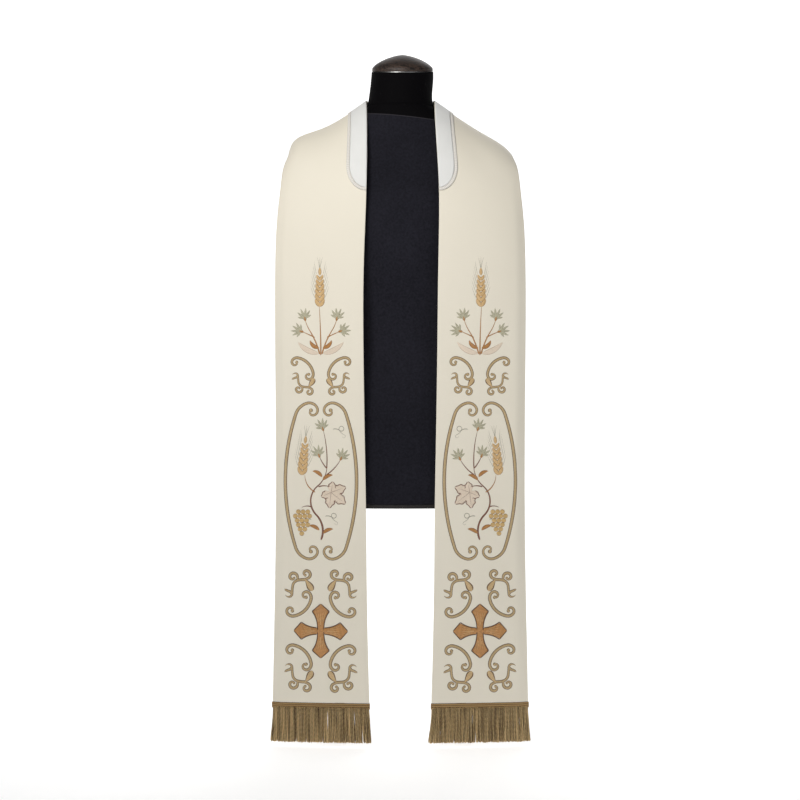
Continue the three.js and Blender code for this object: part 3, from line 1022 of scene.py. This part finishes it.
def heading_mesh(side):
    """The braid: a flattened tube across the hem, with a ridge for each of its cords."""
    def place(across, around):
        point, way, facing = hem_at(side, across)
        angle = 2 * math.pi * around
        rise, out = math.cos(angle), math.sin(angle)
        rise = math.copysign(abs(rise) ** HEADING_SQUARE, rise)
        ridge = 0.62 + 0.42 * abs(math.sin(math.pi * HEADING_RIDGES * (rise + 1) / 2)) ** 0.7
        out = math.copysign(abs(out) ** HEADING_SQUARE, out) * ridge
        height = (HEADING_TOP + HEADING_FOOT) / 2 + rise * (HEADING_TOP - HEADING_FOOT) / 2
        past_edge = way * (2 * across - 1) * HEADING_OVERHANG
        spot = point + past_edge + facing * (out * HEADING_THICK / 2)
        return Vector((spot.x, spot.y, height)), (across * HEADING_SPAN, (rise + 1) / 2)

    return closed_tube(*HEADING_GRID, place)


def fringe_mesh(side, dice):
    """Rows of cords. Each swings a little of its own, and flares out towards its foot."""
    bm = bmesh.new()
    width = section_at(side, 0)[1].length
    count = round((width - 2 * CORD_RADIUS) / CORD_PITCH)
    for row, depth in enumerate(CORD_ROWS):
        for number in range(count):
            share = (number + 0.5 + 0.5 * (row % 2) + dice.uniform(-0.15, 0.15)) / (count + 0.5)
            point, way, facing = hem_at(side, min(share, 1))
            top = HEADING_FOOT + CORD_TUCK
            length = top - FRINGE_FOOT - dice.uniform(0, 2.0) * MM
            swing = (2 * share - 1) * FRINGE_FLARE + dice.uniform(-0.9, 0.9) * MM
            sway = dice.uniform(-0.7, 0.7) * MM
            bow = dice.uniform(-0.5, 0.5) * MM
            start = dice.uniform(0, 1)
            fat = CORD_RADIUS * dice.uniform(0.9, 1.08)

            def place(around, down):
                angle = -2 * math.pi * around
                down, full = CORD_RINGS[round(down * (len(CORD_RINGS) - 1))]
                radius = fat * full
                spread = swing * down ** 1.3 + sway * math.sin(math.pi * down * 1.6)
                spot = (point + way * (spread + math.cos(angle) * radius)
                        + facing * (depth + bow * math.sin(math.pi * down) + math.sin(angle) * radius))
                return (Vector((spot.x, spot.y, top - down * length)),
                        (around + start, down * length))

            laid_grid(bm, CORD_SIDES, len(CORD_RINGS) - 1, place)
    bmesh.ops.remove_doubles(bm, verts=bm.verts[:], dist=2e-6)
    bmesh.ops.recalc_face_normals(bm, faces=bm.faces[:])
    return bm


fringe_dice = random.Random(FRINGE_SEED)
for side in SIDES:
    heading = put_in_scene(f"heading_braid_{side}", heading_mesh(side), gold_braid)
    fringe = put_in_scene(f"bullion_fringe_{side}", fringe_mesh(side, fringe_dice), bullion_cord)
    for piece, node, slot in (
        (heading, f"fringe_heading_{side}", "heading_braid"), (fringe, f"fringe_{side}", "bullion"),
    ):
        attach(piece, "root")
        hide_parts(node)
    widths = [section_at(side, step / 40)[1].length for step in range(41)]
    middle = [face_point(side, step / 200, 0.5) for step in range(201)]
    length = sum((there - here).length for here, there in zip(middle, middle[1:]))

# --------------------
# The dress form's body. A foam torso with no arms and a smooth chest, drawn over with charcoal
# jersey. A black jersey neck piece is pulled down over its top, to a slanting seam.

# The torso's heights and sizes in millimetres: half its width and depth, how far its middle
# lies behind the origin, and how square it is, from 2, an ellipse, up.
Level = namedtuple("Level", "height half_width half_depth middle square")
TORSO_LEVELS = [Level(*row) for row in (
    (445, 156, 103, 0, 2.3), (452, 159, 106, 0, 2.3), (520, 166, 112, 1, 2.3),
    (590, 166, 112, 2, 2.3), (660, 155, 105, 2, 2.2), (740, 138, 95, 0, 2.2),
    (800, 136, 95, -1, 2.2), (870, 146, 105, -2, 2.2), (940, 157, 111, 0, 2.2),
    (1000, 164, 108, 3, 2.2), (1045, 172, 100, 6, 2.2), (1080, 180, 92, 8, 2.2),
    (1100, 183, 87, 9, 2.2), (1112, 184, 84, 9, 2.1), (1124, 172, 81, 9, 2.1),
    (1138, 153, 77, 9, 2.1), (1153, 132, 73, 9, 2.1), (1168, 109, 69, 8, 2.0),
    (1182, 86, 65, 6, 2.0), (1191, 71, 63, 4, 2.0), (1195, 65, 62, 2, 2.0),
)]
# The same for the neck, which is all but round: height, half its width and half its depth.
NECK_LEVELS = [(1195, 64.9, 61.9), (1206, 61.5, 61), (1222, 60, 60), (1248, 59.5, 59.5), (1263, 59, 59)]
RIM_RISE = 1.7 * MM
NECK_AXIS_Y = 2 * MM
NECK_TILT = 0.18
NECK_LEAN = 4 * MM
NECK_BEND = (1205 * MM, 1263 * MM)
NECK_RIM = 0.8 * MM
TORSO_GRID = (120, 110)
NECK_GRID = (96, 24)
# How far the jersey reaches round and up each, in metres.
TORSO_JERSEY = (0.9, 0.95)
NECK_JERSEY = (0.38, 0.07)


def oval_point(half_width, half_depth, middle, square, around):
    angle = 2 * math.pi * around
    x, y = math.cos(angle), math.sin(angle)
    return Vector((
        half_width * math.copysign(abs(x) ** (2 / square), x),
        middle + half_depth * math.copysign(abs(y) ** (2 / square), y),
        0,
    ))


def on_neck(point):
    """A point of an upright neck, moved to where the leaning, tilted one has it."""
    low, high = NECK_BEND
    climb = min(max((point.z - low) / (high - low), 0), 1)
    climb = climb * climb * (3 - 2 * climb)
    return Vector((point.x + NECK_LEAN * climb, point.y + NECK_AXIS_Y,
                   point.z + NECK_TILT * climb * point.y))


torso_rows = [Vector(row) for row in TORSO_LEVELS]
neck_rows = [Vector(row) for row in NECK_LEVELS]


def torso_place(around, up):
    level = through(torso_rows, up)
    spot = oval_point(level[1] * MM, level[2] * MM, level[3] * MM, level[4], around)
    spot.z = level[0] * MM
    return spot, (around * TORSO_JERSEY[0], up * TORSO_JERSEY[1])


def neck_place(around, up):
    level = through(neck_rows, up)
    spot = oval_point(level[1] * MM, level[2] * MM, 0, 2, around)
    front = max(-math.sin(2 * math.pi * around), 0) ** 3
    spot.z = level[0] * MM + RIM_RISE * (1 - front) * max(up * 8 - 7, 0)
    return on_neck(spot), (around * NECK_JERSEY[0], up * NECK_JERSEY[1])


SEAM_HEIGHT = 1172 * MM
SEAM_SLANT = -0.1


def jersey(name, seam):
    """Fine weft-knit jersey: charcoal, and black above the seam if it has one."""
    material, shader = new_finish(name, {"Specular IOR Level": 0.08})
    place = object_place(shader)
    pile = place.noise(1100.0)
    mottle = place.noise(260.0, 3.0)
    blotch = place.noise(7.0)
    fuzz = pile * 0.3 + mottle * 0.45 + blotch * 0.25
    worn = fuzz.ramp(0.3, 0.7)
    black = worn.tint((0.0006, 0.0005, 0.0008), (0.0016, 0.0012, 0.0020))
    height = fuzz
    if seam:
        above = place.part(2) - place.part(0) * SEAM_SLANT - SEAM_HEIGHT
        charcoal = worn.tint((0.0064, 0.0064, 0.0094), (0.0175, 0.0172, 0.0245))
        # Painted highlight: a line a little lighter than the charcoal along the seam's rolled edge.
        rolled_edge_highlight = 1 - abs(above + 0.0008).ramp(0.0004, 0.0012)
        cloth = above.ramp(-0.0003, 0.0003).tint(charcoal, black)
        base = rolled_edge_highlight.tint(cloth, (0.030, 0.028, 0.033))
        height = fuzz * 0.5 + above.ramp(-0.0012, 0.0012) * 0.9
    else:
        base = black
    feed(shader, {
        "Base Color": base,
        "Roughness": mottle * 0.15 + 0.76,
        "Normal": height.bump(0.0006, 0.8),
    })
    return material


torso = put_in_scene("jersey_torso", closed_tube(*TORSO_GRID, torso_place, 0),
                     jersey("charcoal_jersey", True))
neck = put_in_scene("jersey_neck", closed_tube(*NECK_GRID, neck_place, -1, NECK_RIM),
                    jersey("black_jersey", False))
for piece, node, slot in ((torso, "form_torso", "form_jersey"), (neck, "form_neck", "neck_jersey")):
    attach(piece, "root")
    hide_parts(node)

# --------------------
# The neck cap and its ring. A turned hardwood dome, stained dark and flecked with open grain,
# is screwed down on a thin spun-steel ring that traps the top edge of the neck's jersey.
RING_FOOT = 1263.3 * MM
RING_HEIGHT = 1.6 * MM
RING_RADIUS = 57.4 * MM
RING_LIP = 0.4 * MM
CAP_FOOT = 1265.2 * MM
CAP_RADIUS = 58 * MM
CAP_RISE = 32 * MM
CAP_LIP = 5 * MM
CAP_POINT = 4 / 3
EASED_RIM = 0.5 * MM
CAP_STEPS = 24
TURNED_SIDES = 96


def turned_piece(profile):
    """A solid turned from a half profile of (radius, height), then set on the tilted neck."""
    bm = bmesh.new()
    verts = [bm.verts.new((radius, 0, height)) for radius, height in profile]
    edges = [bm.edges.new(pair) for pair in zip(verts, verts[1:])]
    bmesh.ops.spin(bm, geom=[*verts, *edges], cent=(0, 0, 0), axis=(0, 0, 1), angle=2 * math.pi,
                   steps=TURNED_SIDES, use_merge=True)
    bmesh.ops.remove_doubles(bm, verts=bm.verts[:], dist=1e-6)
    bmesh.ops.recalc_face_normals(bm, faces=bm.faces[:])
    for vert in bm.verts:
        vert.co = on_neck(vert.co)
    return bm


def cap_profile():
    """The dome: flat under, a straight lip, and a quarter of an ellipse drawn up to the middle."""
    points = [(0.0, CAP_FOOT), (CAP_RADIUS, CAP_FOOT)]
    for step in range(CAP_STEPS):
        angle = math.pi / 2 * step / CAP_STEPS
        points.append((CAP_RADIUS * math.cos(angle) ** CAP_POINT,
                       CAP_FOOT + CAP_LIP + (CAP_RISE - CAP_LIP) * math.sin(angle) ** CAP_POINT))
    return [*points, (0.0, CAP_FOOT + CAP_RISE)]


spun_steel, shader = new_finish("spun_steel", {"Metallic": 1.0, "Specular IOR Level": 0.5})
brushed = object_place(shader).stretched((60.0, 60.0, 3000.0)).noise()
feed(shader, {
    "Base Color": brushed.tint((0.62, 0.62, 0.62), (0.82, 0.82, 0.81)),
    "Roughness": brushed * 0.25 + 0.2,
    "Normal": brushed.bump(0.0001, 0.4),
})
stained_wood, shader = new_finish("stained_cap_wood", {"Specular IOR Level": 0.4})
place = object_place(shader)
grain = place.stretched((70.0, 330.0, 330.0)).noise(detail=4.0)
fleck = place.noise(330.0)
tone = grain * 0.55 + fleck * 0.45
feed(shader, {
    "Base Color": tone.ramp(0.40, 0.62).tint((0.006, 0.0035, 0.003), (0.062, 0.040, 0.030)),
    "Roughness": tone * 0.3 + 0.38,
    "Normal": tone.bump(0.0004, 0.6),
})

ring = turned_piece([
    (0.0, RING_FOOT), (RING_RADIUS - RING_LIP, RING_FOOT), (RING_RADIUS, RING_FOOT + RING_HEIGHT / 2),
    (RING_RADIUS - RING_LIP, RING_FOOT + RING_HEIGHT), (0.0, RING_FOOT + RING_HEIGHT),
])
for piece, node, slot in (
    (put_in_scene("neck_ring", ring, spun_steel), "form_cap_ring", "ring_metal"),
    (put_in_scene("neck_cap", turned_piece(cap_profile()), stained_wood), "form_cap", "cap_wood"),
):
    round_edges(piece, "eased_rim", EASED_RIM, 50)
    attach(piece, "root")
    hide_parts(node)

# --------------------
# The stand. A plywood board closes the torso's foot, and two black steel tubes go down from it
# to wooden runners on the floor. All of it is painted black and stands behind the bands.
ROUND_OVER = 2 * MM
EASED_EDGE = 0.6 * MM
TUBE_SIDES = 48

black_paint, shader = new_finish("black_paint", {"Specular IOR Level": 0.45})
place = object_place(shader)
orange_peel = place.noise(320.0, 3.0)
rubbed = place.noise(14.0, 4.0)
feed(shader, {
    "Base Color": rubbed.ramp(0.45, 0.75).tint((0.006, 0.006, 0.007), (0.020, 0.019, 0.019)),
    "Roughness": rubbed * 0.2 + 0.34,
    "Normal": orange_peel.bump(0.0002, 0.5),
})
painted_wood, shader = new_finish("black_painted_wood", {"Specular IOR Level": 0.35})
grain = object_place(shader).stretched((500.0, 30.0, 500.0)).noise(detail=4.0)
feed(shader, {
    "Base Color": grain.ramp(0.35, 0.75).tint((0.006, 0.0055, 0.006), (0.030, 0.026, 0.024)),
    "Roughness": grain * 0.25 + 0.42,
    "Normal": grain.bump(0.0005, 0.7),
})

board_low, board_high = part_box("form_base_board")


def board_place(around, up):
    foot = TORSO_LEVELS[0]
    spot = oval_point(foot.half_width * MM, foot.half_depth * MM, 0, foot.square, around)
    spot.z = board_low.z + up * (board_high.z - board_low.z)
    return spot, (around, up)


board = closed_tube(TORSO_GRID[0], 1, board_place)
stand_parts = [("base_board", "form_base_board", board, painted_wood, "stand_wood")]
for side in SIDES:
    low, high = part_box(f"stand_upright_{side}")
    radius = (high.x - low.x) / 2
    tube = bmesh.new()
    bmesh.ops.create_cone(tube, cap_ends=True, segments=TUBE_SIDES, radius1=radius, radius2=radius,
                          depth=high.z - low.z)
    bmesh.ops.translate(tube, verts=tube.verts[:], vec=(low + high) / 2)
    stand_parts.append((f"upright_{side}", f"stand_upright_{side}", tube, black_paint, "stand_steel"))
    low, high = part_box(f"stand_runner_{side}")
    runner = bmesh.new()
    bmesh.ops.create_cube(runner, size=1.0)
    bmesh.ops.scale(runner, verts=runner.verts[:], vec=high - low)
    bmesh.ops.translate(runner, verts=runner.verts[:], vec=(low + high) / 2)
    stand_parts.append((f"runner_{side}", f"stand_runner_{side}", runner, painted_wood, "stand_wood"))
for name, node, mesh, material, slot in stand_parts:
    piece = put_in_scene(name, mesh, material)
    round_edges(piece, "rounded_over", ROUND_OVER if "runner" in name else EASED_EDGE, 40)
    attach(piece, "root")
    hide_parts(node)
